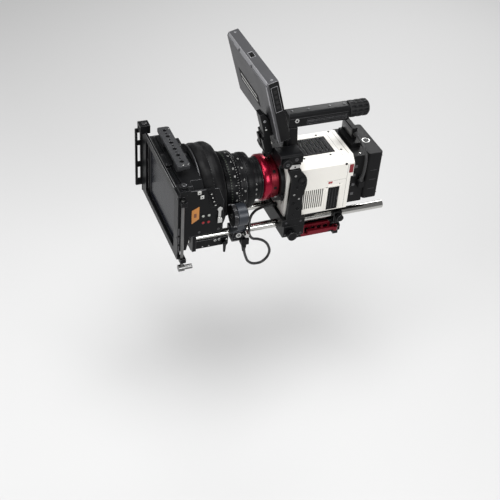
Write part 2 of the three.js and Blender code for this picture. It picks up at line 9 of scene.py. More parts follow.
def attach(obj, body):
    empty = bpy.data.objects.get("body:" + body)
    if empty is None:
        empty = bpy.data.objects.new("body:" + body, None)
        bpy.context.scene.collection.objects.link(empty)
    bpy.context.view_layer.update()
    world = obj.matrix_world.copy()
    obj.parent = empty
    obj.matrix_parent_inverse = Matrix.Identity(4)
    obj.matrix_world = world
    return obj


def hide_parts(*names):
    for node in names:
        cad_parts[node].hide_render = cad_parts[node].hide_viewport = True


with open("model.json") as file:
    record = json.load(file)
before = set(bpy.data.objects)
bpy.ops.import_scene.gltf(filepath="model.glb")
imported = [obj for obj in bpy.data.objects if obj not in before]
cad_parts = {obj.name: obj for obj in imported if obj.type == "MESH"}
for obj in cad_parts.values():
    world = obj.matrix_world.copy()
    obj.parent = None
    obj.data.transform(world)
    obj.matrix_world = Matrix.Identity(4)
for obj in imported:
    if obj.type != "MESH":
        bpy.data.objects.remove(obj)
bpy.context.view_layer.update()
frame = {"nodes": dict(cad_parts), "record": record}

# Lengths below are millimetres from the centre of the lens adapter.
# HOME carries them to the row frame, in metres.
HOME = Matrix.Translation((0, -0.1, 0.127)) @ Matrix.Scale(0.001, 4)
HINGE = Vector((4, -5, 65.5))
LEAN = Matrix.Translation(HINGE) @ Matrix.Rotation(math.radians(15.5), 4, "X")
TURN = 2 * math.pi

# ---------- camera ----------
camera = bpy.data.objects.new("camera", bpy.data.cameras.new("camera"))
bpy.context.collection.objects.link(camera)
camera.data.sensor_width = 36
camera.data.lens = 69.8
camera.data.clip_start = 0.05
camera.matrix_world = Matrix(
    (
        (0.35314, -0.60857, 0.71059, 1.2868),
        (0.93343, 0.17787, -0.31156, -0.6804),
        (0.06322, 0.77331, 0.63087, 1.1048),
        (0, 0, 0, 1),
    )
)
bpy.context.scene.camera = camera
bpy.context.scene.view_settings.view_transform = "Standard"

# ---------- cords ----------
CORD_RADIUS = 2.5
MOTOR_ROUTE = (
    (50, -51, -108.3),
    (50, -50, -116),
    (48, -46, -132),
    (46, -36, -152),
    (44, -21, -160),
    (42, -6, -158),
    (41, 4, -143),
    (41, 1, -126),
    (42, -9, -112),
    (44, -22, -103),
    (46, -34, -97),
    (46.5, -40.5, -86),
    (44.5, -41, -72),
    (36, -37, -60),
    (26, -26, -55),
    (18, -12, -55),
    (15, 2, -55),
    (14, 13.6, -55),
)
AERIAL_ROUTE = (
    (6.5, 165, 66),
    (10.1, 164.9, 66.4),
    (14, 165, 66.5),
    (20.8, 165.9, 65.3),
    (28, 167, 63),
    (35.4, 167.9, 59.6),
    (42, 168.5, 55),
    (47.3, 168.8, 49),
    (51, 169, 42),
    (52.3, 169.1, 34.2),
    (52.5, 169, 26),
    (52.6, 168.6, 17.7),
    (52.4, 168, 10),
    (52, 167.2, 5.3),
    (51.6, 166.4, 1),
    (51.3, 166, -2.6),
    (51, 165.6, -6),
)


def cord(name, route):
    """A round cord through the points of its route."""
    curve = bpy.data.curves.new(name, "CURVE")
    curve.dimensions = "3D"
    curve.bevel_depth = CORD_RADIUS / 1000
    curve.bevel_resolution = 5
    curve.use_fill_caps = True
    curve.resolution_u = 8
    line = curve.splines.new("BEZIER")
    line.bezier_points.add(len(route) - 1)
    for point, place in zip(line.bezier_points, route):
        point.co = HOME @ Vector(place)
        point.handle_left_type = point.handle_right_type = "AUTO"
    made = bpy.data.objects.new(name, curve)
    bpy.context.collection.objects.link(made)
    return made


motor_lead = cord("motor_lead", MOTOR_ROUTE)
aerial_lead = cord("aerial_lead", AERIAL_ROUTE)


# ---------- materials ----------
class Value:
    """A shader socket that takes part in sums; each sum adds its Math node."""

    def __init__(self, finish, socket):
        self.finish = finish
        self.socket = socket

    def maths(self, operation, *parts):
        inputs = dict(enumerate(parts))
        return self.finish.node("Math", {"operation": operation}, inputs)

    def __add__(self, other):
        return self.maths("ADD", self, other)

    def __sub__(self, other):
        return self.maths("SUBTRACT", self, other)

    def __rsub__(self, other):
        return self.maths("SUBTRACT", other, self)

    def __mul__(self, other):
        return self.maths("MULTIPLY", self, other)

    def __gt__(self, other):
        return self.maths("GREATER_THAN", self, other)

    __radd__ = __add__
    __rmul__ = __mul__


class Finish:
    """A material in the making, round one Principled shader."""

    def __init__(self, name, **constants):
        self.material = bpy.data.materials.new(name)
        self.material.use_nodes = True
        self.tree = self.material.node_tree
        self.tree.nodes.clear()
        self.shader = self.tree.nodes.new("ShaderNodeBsdfPrincipled")
        output = self.tree.nodes.new("ShaderNodeOutputMaterial")
        self.tree.links.new(self.shader.outputs[0], output.inputs[0])
        for socket, value in constants.items():
            self.feed(self.shader.inputs[socket.replace("_", " ")], value)

    def feed(self, socket, value):
        if isinstance(value, Value):
            self.tree.links.new(value.socket, socket)
        elif socket.type == "RGBA":
            socket.default_value = (*value[:3], 1)
        else:
            socket.default_value = value

    def node(self, kind, settings=None, inputs=None, out=0):
        made = self.tree.nodes.new("ShaderNode" + kind)
        for setting, value in (settings or {}).items():
            setattr(made, setting, value)
        for socket, value in (inputs or {}).items():
            self.feed(made.inputs[socket], value)
        return Value(self, made.outputs[out])

    def place(self, stretch=(1, 1, 1)):
        """Object coordinates, drawn out along some axes."""
        here = self.node("TexCoord", out="Object")
        return self.node("Mapping", None, {"Vector": here, "Scale": stretch})

    def noise(self, size, stretch=(1, 1, 1), detail=3.0):
        """Soft noise from 0 to 1 with patches of that size in metres."""
        inputs = {"Vector": self.place(stretch), "Scale": 1 / size, "Detail": detail}
        return self.node("TexNoise", None, inputs)

    def blend(self, factor, first, second):
        """One colour turning into another as factor goes from 0 to 1."""
        inputs = {"Factor": factor, 6: first, 7: second}
        return self.node("Mix", {"data_type": "RGBA"}, inputs, out=2)

    def bump(self, height, depth, strength=0.6):
        inputs = {"Height": height, "Distance": depth, "Strength": strength}
        return self.node("Bump", None, inputs)

    def set(self, **sockets):
        for socket, value in sockets.items():
            self.feed(self.shader.inputs[socket.replace("_", " ")], value)
        return self.material


def shade(colour, amount):
    return tuple(min(1, c * amount) for c in colour)


def surface(name, colour, rough, grain, depth, spread=0.12, stretch=(1, 1, 1), **constants):
    """A finish with its own grain, a slow change of colour, and handling marks in its gloss."""
    made = Finish(name, **constants)
    slow = made.noise(0.035, detail=4.0)
    fine = made.noise(grain, stretch, 2.0)
    tone = slow * 0.5 + fine * 0.5
    base = made.blend(tone, shade(colour, 1 - spread), shade(colour, 1 + spread))
    gloss = (slow - 0.5) * 0.16 + (fine - 0.5) * 0.1 + rough
    return made.set(Base_Color=base, Roughness=gloss, Normal=made.bump(fine, depth))


BRUSHED_Y = (1, 0.02, 1)
TURNED_Y = (0.02, 1, 0.02)
white_paint = surface("white_paint", (0.82, 0.8, 0.75), 0.42, 0.0009, 0.00004, 0.05)
black_metal = surface(
    "black_anodised", (0.005, 0.0052, 0.0058), 0.36, 0.0005, 0.00002, 0.25, Specular_IOR_Level=0.12
)
# Lighter, glossier black for bevel faces, thin edge strips, gear teeth and small fittings: partly
# the bare metal of machined chamfers, partly a painted highlight along the edges.
black_chamfer_painted_glint = surface(
    "black_anodised_chamfer_painted_glint", (0.09, 0.09, 0.094), 0.28, 0.0005, 0.00001, 0.3, Metallic=0.7
)
grey_metal = surface(
    "grey_anodised", (0.036, 0.037, 0.04), 0.42, 0.0005, 0.00002, 0.15, Metallic=0.4
)
# Lighter grey for the accessory bar's bevel faces: partly bare chamfer metal, partly a painted
# highlight along the edges.
grey_chamfer_painted_glint = surface(
    "grey_anodised_chamfer_painted_glint", (0.3, 0.3, 0.31), 0.3, 0.0005, 0.00001, 0.2, Metallic=0.7
)
motor_metal = surface(
    "motor_anodised", (0.022, 0.026, 0.034), 0.36, 0.0005, 0.00002, 0.15, Metallic=0.3
)
red_metal = surface(
    "red_anodised", (0.27, 0.005, 0.024), 0.24, 0.0004, 0.00002, 0.12, TURNED_Y, Metallic=0.75
)
dark_red_metal = surface(
    "red_anodised_dark", (0.16, 0.005, 0.014), 0.34, 0.0004, 0.00002, 0.2, TURNED_Y, Metallic=0.7
)
steel = surface("bright_steel", (0.5, 0.5, 0.49), 0.2, 0.0006, 0.00001, 0.08, Metallic=1.0)
rod_steel = surface(
    "rod_steel", (0.5, 0.495, 0.475), 0.13, 0.0004, 0.00001, 0.06, BRUSHED_Y, Metallic=1.0
)
black_plastic = surface(
    "black_plastic", (0.006, 0.006, 0.0065), 0.5, 0.0006, 0.00004, 0.2, Specular_IOR_Level=0.13
)
# A light finish that paints highlights on the front frame's top edges.
painted_edge_highlight = surface(
    "painted_edge_highlight", (0.4, 0.4, 0.4), 0.3, 0.0005, 0.00001, 0.3, Metallic=0.8
)
worn_steel = surface(
    "worn_steel", (0.16, 0.16, 0.158), 0.3, 0.006, 0.00001, 0.75, (1, 1, 0.25), Metallic=1.0
)
# Near-black for screw sockets, slot floors, bores and gaps, painted shade where these recesses
# fall dark; it also fills real seam lines and the monitor badge.
painted_shade_and_seam_black = surface("painted_shade_and_seam_black", (0.004, 0.004, 0.0045), 0.8, 0.002, 0.00002, 0.2)
vent_light = surface("vent_slat", (0.05, 0.05, 0.054), 0.3, 0.0006, 0.00001, 0.15)
monitor_grey = surface(
    "monitor_shell", (0.055, 0.055, 0.059), 0.48, 0.0006, 0.00003, 0.12, Metallic=0.2
)
# Lighter grey for the monitor's bevel faces and edge strips: partly bare chamfer metal, partly a
# painted highlight along the edges.
monitor_chamfer_painted_glint = surface(
    "monitor_chamfer_painted_glint", (0.34, 0.34, 0.355), 0.36, 0.0006, 0.00001, 0.15, Metallic=0.5
)
red_plastic = surface("red_plastic", (0.2, 0.004, 0.012), 0.34, 0.0008, 0.00003, 0.12)
grip_rubber = surface(
    "grip_rubber", (0.006, 0.006, 0.0065), 0.55, 0.0008, 0.0001, 0.2, Specular_IOR_Level=0.3
)
white_mark = surface("white_filling", (0.55, 0.55, 0.53), 0.5, 0.0005, 0.00001, 0.06)
green_mark = surface("green_filling", (0.14, 0.18, 0.12), 0.5, 0.0005, 0.00001, 0.1)
red_mark = surface("red_filling", (0.32, 0.006, 0.012), 0.4, 0.0006, 0.00001, 0.1)
grey_mark = surface("grey_filling", (0.42, 0.44, 0.4), 0.35, 0.0006, 0.00001, 0.1)
orange_label = surface("orange_label", (0.5, 0.2, 0.04), 0.5, 0.0015, 0.00003, 0.2)
label_ink = surface("label_ink", (0.16, 0.05, 0.02), 0.5, 0.001, 0.00001, 0.1)
board_green = surface("circuit_board", (0.012, 0.1, 0.035), 0.45, 0.0015, 0.00005, 0.3)


def glass(name, colour, rough, **constants):
    """Coated glass with faint dust."""
    made = Finish(name, IOR=1.5, **constants)
    dust = made.noise(0.004, detail=6.0)
    smear = made.noise(0.03, detail=2.0)
    base = made.blend(smear, shade(colour, 0.7), shade(colour, 1.3))
    return made.set(Base_Color=base, Roughness=dust * 0.06 + smear * 0.05 + rough)


lens_glass = glass("lens_glass", (0.012, 0.012, 0.022), 0.02, Coat_Weight=0.5)
filter_glass = glass("filter_glass", (0.006, 0.007, 0.0105), 0.14, Specular_IOR_Level=0.06)
screen_glass = glass("screen_glass", (0.006, 0.006, 0.008), 0.04)


def cord_jacket():
    """Smooth black jacket with the slight waves of the strands inside."""
    made = Finish("cord_jacket", Sheen_Weight=0.1)
    waves = made.noise(0.0025, detail=1.0)
    fine = made.noise(0.0005)
    base = made.blend(fine, (0.006, 0.006, 0.007), (0.016, 0.016, 0.017))
    return made.set(
        Base_Color=base,
        Roughness=fine * 0.15 + 0.36,
        Normal=made.bump(waves + fine * 0.3, 0.00008),
    )


def donut_cloth():
    """Coated nylon: a fine plain weave round the optical axis, with creases and sheen."""
    made = Finish("donut_fabric", Sheen_Weight=0.02, Sheen_Roughness=0.4, Specular_IOR_Level=0.14)
    along = made.node("SeparateXYZ", None, {0: made.place()}, out="Y")
    threads = along.maths("SINE", along * (TURN / 0.0009))
    cross = made.noise(0.0009, (1, 0.15, 1), 1.0)
    weave = threads * 0.25 + cross
    crease = made.noise(0.012, (1, 0.35, 1), 4.0)
    base = made.blend(weave, (0.002, 0.002, 0.0023), (0.005, 0.005, 0.0056))
    height = weave * 0.25 + crease
    return made.set(
        Base_Color=base,
        Roughness=crease * 0.2 + 0.36,
        Normal=made.bump(height, 0.0007, 0.55),
    )


cord_black = cord_jacket()
donut_fabric = donut_cloth()


# ---------- shapes: each returns a bmesh in millimetres ----------
def box(x0, x1, y0, y1, z0, z1, soft=0.0, segments=2):
    made = bmesh.new()
    size = Matrix.Diagonal((x1 - x0, y1 - y0, z1 - z0, 1))
    middle = Matrix.Translation(((x0 + x1) / 2, (y0 + y1) / 2, (z0 + z1) / 2))
    bmesh.ops.create_cube(made, size=1, matrix=middle @ size)
    return softened(made, soft, segments)


def softened(made, soft, segments=2, angle=30):
    """Rounds the edges that turn by more than the angle."""
    if soft:
        least = math.radians(angle)
        edges = [e for e in made.edges if e.calc_face_angle(0) > least]
        bmesh.ops.bevel(
            made,
            geom=edges,
            offset=soft,
            offset_type="OFFSET",
            segments=segments,
            profile=0.5,
            affect="EDGES",
            clamp_overlap=True,
            material=-1,
        )
    return made


AXES = {"x": Vector((1, 0, 0)), "y": Vector((0, 1, 0)), "z": Vector((0, 0, 1))}


def turned(profile, axis="y", centre=(0, 0, 0), steps=96, closed=False):
    """A round shape from a profile of (radius, distance along the axis) points."""
    made = bmesh.new()
    along = AXES[axis]
    out = AXES["z"] if axis != "z" else AXES["x"]
    centre = Vector(centre)
    points = [made.verts.new(centre + out * r + along * v) for r, v in profile]
    pairs = list(zip(points, points[1:]))
    if closed:
        pairs.append((points[-1], points[0]))
    edges = [made.edges.new(pair) for pair in pairs]
    bmesh.ops.spin(
        made,
        geom=points + edges,
        cent=centre,
        axis=along,
        angle=TURN,
        steps=steps,
        use_merge=True,
    )
    bmesh.ops.remove_doubles(made, verts=made.verts, dist=1e-4)
    bmesh.ops.recalc_face_normals(made, faces=made.faces)
    return made


def ring(inner, outer, start, stop, axis="y", centre=(0, 0, 0), steps=96, soft=0.3):
    """A flat-sided ring with small chamfers."""
    profile = [
        (inner, start),
        (outer - soft, start),
        (outer, start + soft),
        (outer, stop - soft),
        (outer - soft, stop),
        (inner, stop),
    ]
    return turned(profile, axis, centre, steps, closed=True)


def drum(radius, start, stop, axis="y", centre=(0, 0, 0), steps=32, soft=0.3, end=None):
    """A round bar with chamfered ends, or a cone if its end radius differs."""
    end = radius if end is None else end
    profile = [
        (0, start),
        (radius - soft, start),
        (radius, start + soft),
        (end, stop - soft),
        (end - soft, stop),
        (0, stop),
    ]
    return turned(profile, axis, centre, steps)


def slab(axis, start, stop, outline, soft=0.0):
    """An outline in the plane across an axis, given thickness along it."""
    made = bmesh.new()
    order = {"x": (1, 2, 0), "y": (0, 2, 1), "z": (0, 1, 2)}[axis]
    corners = []
    for a, b in outline:
        place = [0, 0, 0]
        place[order[0]], place[order[1]], place[order[2]] = a, b, start
        corners.append(made.verts.new(place))
    face = made.faces.new(corners)
    moved = bmesh.ops.extrude_face_region(made, geom=[face])["geom"]
    verts = [g for g in moved if isinstance(g, bmesh.types.BMVert)]
    bmesh.ops.translate(made, verts=verts, vec=AXES[axis] * (stop - start))
    bmesh.ops.recalc_face_normals(made, faces=made.faces)
    return softened(made, soft)


def radial(angle):
    """Carries what is drawn towards +X round the optical axis by that many degrees."""
    return Matrix.Rotation(-math.radians(angle), 4, "Y")


# ---------- pieces ----------
record = frame["record"]
BODY_OF = {n: b for b, nodes in record["behaviour"]["bodies"].items() for n in nodes}


class Piece:
    """One piece in the making, with the list of its finishes."""

    def __init__(self, name, *finishes):
        self.name = name
        self.finishes = finishes
        self.mesh = bmesh.new()

    def add(self, shape, finish=0, place=None):
        for face in shape.faces:
            face.material_index = finish
            face.smooth = True
        if place is not None:
            shape.transform(place)
        carrier = bpy.data.meshes.new("carrier")
        shape.to_mesh(carrier)
        shape.free()
        self.mesh.from_mesh(carrier)
        bpy.data.meshes.remove(carrier)
        return self

    def screw(self, place, axis, radius, height=1.0, finish=0, hollow=1, steps=20):
        """A socket screw head whose hollow has a finish of its own, mostly the near-black of
        painted shade in its socket; height may be negative.
        """
        along = Vector(place)
        rim = [
            (radius * 0.5, height * 0.25),
            (radius * 0.5, height),
            (radius * 0.88, height),
            (radius, height * 0.8),
            (radius, -0.3 if height > 0 else 0.3),
        ]
        self.add(turned(rim, axis, along, steps), finish)
        floor = [(0, height * 0.25), (radius * 0.5, height * 0.25)]
        return self.add(turned(floor, axis, along, steps), hollow)

    def done(self, body, slot=None, replaces=(), edge=0.0, chamfer_glint_finish=None, place=HOME):
        """Makes the object, in place and unturned, and sends it off with its body."""
        self.mesh.transform(place)
        mesh = bpy.data.meshes.new(self.name)
        self.mesh.to_mesh(mesh)
        self.mesh.free()
        for stale in ("custom_normal", "sharp_edge", "sharp_face"):
            found = mesh.attributes.get(stale)
            if found:
                mesh.attributes.remove(found)
        for finish in self.finishes:
            mesh.materials.append(finish)
        mesh.shade_smooth()
        made = bpy.data.objects.new(self.name, mesh)
        bpy.context.collection.objects.link(made)
        if edge:
            if chamfer_glint_finish:
                mesh.materials.append(chamfer_glint_finish)
            soft = made.modifiers.new("soft_edges", "BEVEL")
            soft.limit_method = "ANGLE"
            soft.angle_limit = math.radians(32)
            soft.width = edge / 1000
            soft.segments = 2
            soft.harden_normals = True
            # The bevel faces take the lighter edge finish: partly bare chamfer metal, partly a
            # painted highlight.
            if chamfer_glint_finish:
                soft.material = len(mesh.materials) - 1
        else:
            mesh.set_sharp_from_angle(angle=math.radians(32))
        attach(made, body)
        slot = slot or self.finishes[0].name
        if replaces:
            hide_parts(*replaces)
        return made


def finished(node, finish, edge=0.4, chamfer_glint_finish=None, slot=None):
    """A CAD node's own shape with merged faces, soft edges and its finish."""
    piece = Piece(node + "_finished", finish)
    piece.mesh.from_mesh(frame["nodes"][node].data)
    piece.mesh.transform(HOME.inverted())
    bmesh.ops.remove_doubles(piece.mesh, verts=piece.mesh.verts, dist=0.002)
    bmesh.ops.dissolve_limit(
        piece.mesh,
        angle_limit=math.radians(0.5),
        verts=piece.mesh.verts,
        edges=piece.mesh.edges,
    )
    for face in piece.mesh.faces:
        face.material_index = 0
    return piece.done(BODY_OF[node], slot, [node], edge, chamfer_glint_finish)


# ---------- metalwork that keeps its CAD shape ----------
for node in (
    "filter_stage filter_tray_1 filter_tray_2 side_wing_near side_wing_far front_frame "
    "side_flag_bracket rod_bracket bracket_lever motor_clamp bridge_plate rod_block_front "
    "rod_block_rear rod_knob_front cage_side cage_top tripod_plate handle_post handle_bar "
    "monitor_swivel tilt_knob monitor_arm"
).split():
    finished(node, black_metal, 0.5, black_chamfer_painted_glint)
finished("camera_body", white_paint, 0.3)
finished("accessory_bar", grey_metal, 0.4, grey_chamfer_painted_glint)
finished("motor_body", motor_metal, 0.4, None, "grey_anodised")
for node in ("vent_panel", "cooling_fan", "media_door", "motor_socket", "battery_plate"):
    finished(node, black_plastic, 0.3)
finished("battery", black_plastic, 0.8)
for node in ("aerial_block", "front_socket"):
    finished(node, black_plastic, 0.4)
finished("monitor_body", monitor_grey, 0.6, monitor_chamfer_painted_glint)
finished("monitor_screen", screen_glass, 0.1)
finished("record_button", red_plastic, 0.8)
finished("battery_button", black_metal, 0.3, black_chamfer_painted_glint, "bright_steel")
finished("flag_pin", worn_steel, 0.3, None, "bright_steel")
for node in ("heat_sink", "wing_lever", "clamp_knob"):
    finished(node, steel, 0.3, None, "bright_steel")
for node in ("rod_near", "rod_far"):
    finished(node, rod_steel, 0.3, None, "bright_steel")
for node in ("release_frame", "release_lever"):
    finished(node, dark_red_metal, 0.4, None, "red_anodised")
finished("circuit_board", board_green, 0.1)
finished("image_sensor", lens_glass, 0.1)
finished("filter_glass", filter_glass, 0.3)


# ---------- lens ----------
def ring_marks(piece, count, first, last, radius, start, stop, width, finish=0, every=1, tall=0):
    """Filled engravings round the optical axis, with a longer one after every so many."""
    for i in range(count):
        angle = first + (last - first) * i / (count - 1)
        longer = tall if every and i % every == 0 else 0
        mark = box(radius - 0.3, radius + 0.05, start - longer, stop, -width / 2, width / 2)
        piece.add(mark, finish, radial(angle))


def figures(piece, count, first, last, radius, start, finish=0):
    """Rows of small figures: each is a stroke or an open block, as cut numbers look."""
    for i in range(count):
        angle = first + (last - first) * i / (count - 1)
        turn = radial(angle)
        low, high = radius - 0.3, radius + 0.05
        piece.add(box(low, high, start, start + 2.6, -1.5, -1.0), finish, turn)
        if i % 3:
            piece.add(box(low, high, start, start + 0.5, -0.4, 1.2), finish, turn)
            piece.add(box(low, high, start + 2.1, start + 2.6, -0.4, 1.2), finish, turn)
            piece.add(box(low, high, start, start + 2.6, 1.0, 1.5), finish, turn)
        if i % 2:
            piece.add(box(low, high, start + 1.0, start + 1.5, -0.4, 1.2), finish, turn)


FOCUS_TEETH = 142
PINION_TEETH = 50


def teeth(piece, count, root, tip, start, stop, finish, centre=(0, 0)):
    """Gear teeth with sloping flanks."""
    half = math.pi * root / count * 0.62
    for i in range(count):
        tooth = slab(
            "y",
            start,
            stop,
            [(root - 0.3, -half), (tip, -half * 0.45), (tip, half * 0.45), (root - 0.3, half)],
        )
        turn = Matrix.Rotation(-TURN * (i + 0.5) / count, 4, "Y")
        piece.add(tooth, finish, Matrix.Translation((centre[0], 0, centre[1])) @ turn)


mount = Piece("mount_ring", steel)
mount.add(ring(30, 40, 13.5, 21.7))
mount.done("camera", "bright_steel", ["lens_mount"])

lock = Piece("lock_ring", black_metal, steel, red_mark)
lock.add(ring(40.4, 46, 13, 20.6, soft=0.6))
for angle in (-20, 160):
    lock.add(box(43, 53, 13.5, 18.5, -6, 6, 0.8), 0, radial(angle))
    for z in (-4, 0, 4):
        lock.add(box(52.6, 53.3, 13.8, 18.2, z - 0.7, z + 0.7, 0.2), 0, radial(angle))
lock.add(box(45.6, 46.1, 14, 17, -1, 1), 2, radial(70))
lock.done("lock_ring", "black_anodised", ["mount_lock_ring"])

adapter = Piece("adapter_ring", red_metal, dark_red_metal, black_metal, white_mark)
adapter.add(
    turned(
        [
            (28, -16),
            (39.2, -16),
            (39.6, -15.6),
            (41.2, -14.2),
            (41.7, -13.4),
            (41.7, -2.2),
            (41.4, -1.6),
            (40.6, -1.2),
            (28, -1.2),
        ],
        closed=True,
    )
)
adapter.add(
    turned(
        [
            (28, -1.1),
            (40.2, -1.1),
            (40.2, 0.4),
            (38.8, 0.9),
            (38.8, 2.6),
            (38.3, 3),
            (38.3, 8),
            (38.8, 8.4),
            (38.6, 12.3),
            (38.2, 12.6),
            (28, 12.6),
        ],
        closed=True,
    ),
    1,
)
for i in range(8):
    adapter.add(box(37.2, 38.9, 3, 8, -2.6, 2.6, 0.3), 2, radial(i * 45))
    adapter.add(box(38, 38.95, 3.2, 7.8, 4.5, 5.1, 0.1), 1, radial(i * 45))
adapter.done("camera", "red_anodised", ["lens_adapter"])

barrel = Piece("lens_barrel_turned", black_metal, white_mark, black_chamfer_painted_glint)
barrel.add(
    turned(
        [
            (25, -16.3),
            (38.2, -16.3),
            (38.5, -16.7),
            (38.2, -18.4),
            (37.3, -19.6),
            (37.1, -24),
            (36.7, -24.4),
            (36.7, -25.4),
            (37, -25.8),
            (36.6, -34.7),
            (43.5, -34.7),
            (44, -35.2),
            (44, -49.6),
            (48.4, -49.6),
            (49, -50.2),
            (49, -56),
            (48.7, -56.3),
            (48.7, -57.1),
            (49, -57.4),
            (49, -62.1),
            (48.4, -62.7),
            (46, -62.7),
            (46, -89.3),
            (51.4, -89.3),
            (52, -89.9),
            (52, -96.4),
            (51.4, -97),
            (45, -97),
            (44, -96),
            (43.8, -88),
            (25, -60),
        ],
        closed=True,
    )
)
ring_marks(barrel, 13, -40, 140, 49, -61.4, -59.2, 0.4, 1)
figures(barrel, 8, -35, 135, 49, -55.6, 1)
ring_marks(barrel, 13, -50, 130, 37.05, -33.2, -31.8, 0.3, 1)
figures(barrel, 4, -30, 20, 36.9, -30.4, 1)
# Thin rings in the lighter edge finish: painted highlights on two step edges.
for radius, y in ((38.55, -17.3), (49.05, -50.4)):
    barrel.add(ring(radius - 0.6, radius, y - 0.15, y + 0.15, soft=0.05), 2)
barrel.done("camera", "black_anodised", ["lens_barrel"])

iris = Piece("iris_ring_turned", black_metal, white_mark)
iris.add(
    turned(
        [
            (44.3, -35),
            (48.5, -35),
            (49, -35.5),
            (49.6, -40.6),
            (49.6, -47),
            (48.5, -49.3),
            (44.3, -49.3),
        ],
        closed=True,
    )
)
for i in range(60):
    iris.add(box(49, 50, -46.6, -41, -1.3, 1.3, 0.25, 1), 0, radial(i * 6 + 3))
ring_marks(iris, 16, -45, 135, 49.05, -40.2, -39, 0.35, 1)
figures(iris, 7, -42, 130, 48.75, -38.3, 1)
iris.done("iris", "black_anodised", ["iris_ring"])

focus = Piece("focus_ring_turned", black_metal, white_mark, green_mark, black_chamfer_painted_glint)
focus.add(
    turned(
        [
            (46.3, -63),
            (54.4, -63),
            (55.6, -64.2),
            (56, -65),
            (56, -82.6),
            (54.8, -83),
            (54.8, -88.6),
            (54.4, -89),
            (46.3, -89),
        ],
        steps=128,
        closed=True,
    )
)
teeth(focus, FOCUS_TEETH, 54.8, 57, -89, -83.2, 0)
ring_marks(focus, 46, -60, 150, 56, -68.2, -66.8, 0.35, 1, 5, 1.2)
figures(focus, 15, -58, 148, 56, -73.4, 1)
ring_marks(focus, 43, -60, 150, 56, -81.4, -79.4, 0.45, 2)
focus.done("focus", "black_anodised", ["focus_ring"])

element = Piece("front_glass", lens_glass)
dome = [(43.4 * i / 12, -95.5 + 5 * (i / 12) ** 2) for i in range(13)]
element.add(turned(dome + [(43.4, -88.5), (0, -88.5)]))
element.done("camera", "lens_glass", ["front_element"])

# ---------- focus motor ----------
MOTOR = (76.2, -13.4)
pinion = Piece("pinion_gear", black_plastic, black_chamfer_painted_glint, steel)
pinion.add(drum(18.6, -89, -83, centre=(MOTOR[0], 0, MOTOR[1]), steps=64))
pinion.add(drum(4, -84, -82.3, centre=(MOTOR[0], 0, MOTOR[1])))
# Teeth in the lighter edge finish: a painted glint on the gear's teeth.
teeth(pinion, PINION_TEETH, 18.6, 20, -89, -83, 1, MOTOR)
pinion.screw((MOTOR[0], -89, MOTOR[1]), "y", 5, -0.8, 2, 0)
pinion.done("pinion", "black_plastic", ["motor_gear"])

motor = Piece("motor_fittings", steel, painted_shade_and_seam_black, black_chamfer_painted_glint, motor_metal)
for i in range(8):
    angle = TURN * (i + 0.5) / 8
    place = (MOTOR[0] + 16.4 * math.cos(angle), -82, MOTOR[1] + 16.4 * math.sin(angle))
    motor.screw(place, "y", 1.3, -0.5)
# Thin rings and ribs in the lighter edge finish: painted glints on the motor body.
for y in (-80.2, -66.4):
    centre = (MOTOR[0], 0, MOTOR[1])
    motor.add(ring(19, 19.62, y, y + 0.35, "y", centre, 72, 0.1), 2)
motor.add(ring(2.7, 5.4, 50.1, 52.6, "x", (0, -63, -79.5), 40, 0.5), 0)
# Painted shade in the clamp screw's bore.
motor.add(drum(2.6, 49.8, 51.4, "x", (0, -63, -79.5), 24, 0.3), 1)
motor.add(drum(1.1, 51, 53.4, "x", (0, -63, -79.5), 16, 0.3), 0)
for i in range(18):
    angle = TURN * i / 18
    rib = box(0, 2.6, -0.28, 0.28, -0.28, 0.28)
    turn = Matrix.Translation((76.2, -64, -13.4)) @ Matrix.Rotation(angle, 4, "Y")
    motor.add(rib, 2, turn @ Matrix.Translation((14.2, 0.4, 0)))
motor.done("camera", "bright_steel")

lever = Piece("bracket_screws", steel, painted_shade_and_seam_black)
for y, z, radius in ((-102.8, -89.7, 2.5), (-95.4, -89.1, 2.5), (-81.5, -92, 1.9)):
    lever.screw((41, y, z), "x", radius, 0.8)
for y in (-140, -126, -114):
    lever.screw((41, y, -99.6), "x", 1.3, 0.5)
lever.done("camera", "bright_steel")

# ---------- matte box ----------
filters = Piece(
    "matte_box_fittings", steel, painted_shade_and_seam_black, black_metal, white_mark, black_chamfer_painted_glint, painted_edge_highlight
)
filters.screw((45, -166, 84), "z", 2.2, 0.9)
# Painted highlights: two light strips along the top edges of the front frame's flange.
for y in (-192.7, -189.1):
    filters.add(box(-86, 80, y, y + 0.6, 66.8, 67.4, 0.1), 5)
for x in (-36, -4):
    filters.screw((x, -149, 64), "z", 4.2, 5.5, 4, 1)
    filters.add(ring(2, 3, 69.2, 70, "z", (x, -149, 0), 24, 0.3), 0)
for x in (-66, 44):
    filters.screw((x, -157.5, 84), "z", 1.5, 0.5)
for place in ((93, -180, 79), (-97.5, -192, 81)):
    filters.screw(place, "z", 4.4, 1.2, 4, 1)
for y, z in ((-152, 55.5), (-147, 46)):
    filters.add(box(88, 89.6, y - 3.2, y + 3.2, z - 3.2, z + 3.2, 0.5), 3)
    filters.add(drum(1.1, 89.4, 90, "x", (0, y, z), 16, 0.2), 1)
for i, z in enumerate(range(26, 58, 4)):
    y = -124 - 0.32 * (z - 26)
    filters.add(box(88, 90.4, y - 3.6, y + 3.6, z - 1.4, z + 1.4, 0.4), 2)
    if i % 2 == 0:
        filters.add(box(90.2, 90.6, y - 1.2, y + 1.4, z - 0.7, z + 0.9, 0.15), 3)
filters.add(slab("x", 87.8, 88.8, [(-131, 20), (-118, 20), (-126, 60), (-140, 60)], 0.3), 2)
for y, z in ((-179, 50), (-179, -50), (-116, -26), (-150, -26)):
    filters.screw((88, y, z), "x", 2.2, 0.7, 4, 1)
for x in (-98, 98):
    for z in (-58, -20, 20, 58):
        filters.screw((x, -193, z), "y", 1.7, -0.5, 4, 1)
for z in (-48, -30, -12):
    filters.add(box(103.9, 104.6, -192, -189.2, z, z + 14, 0.2), 4)
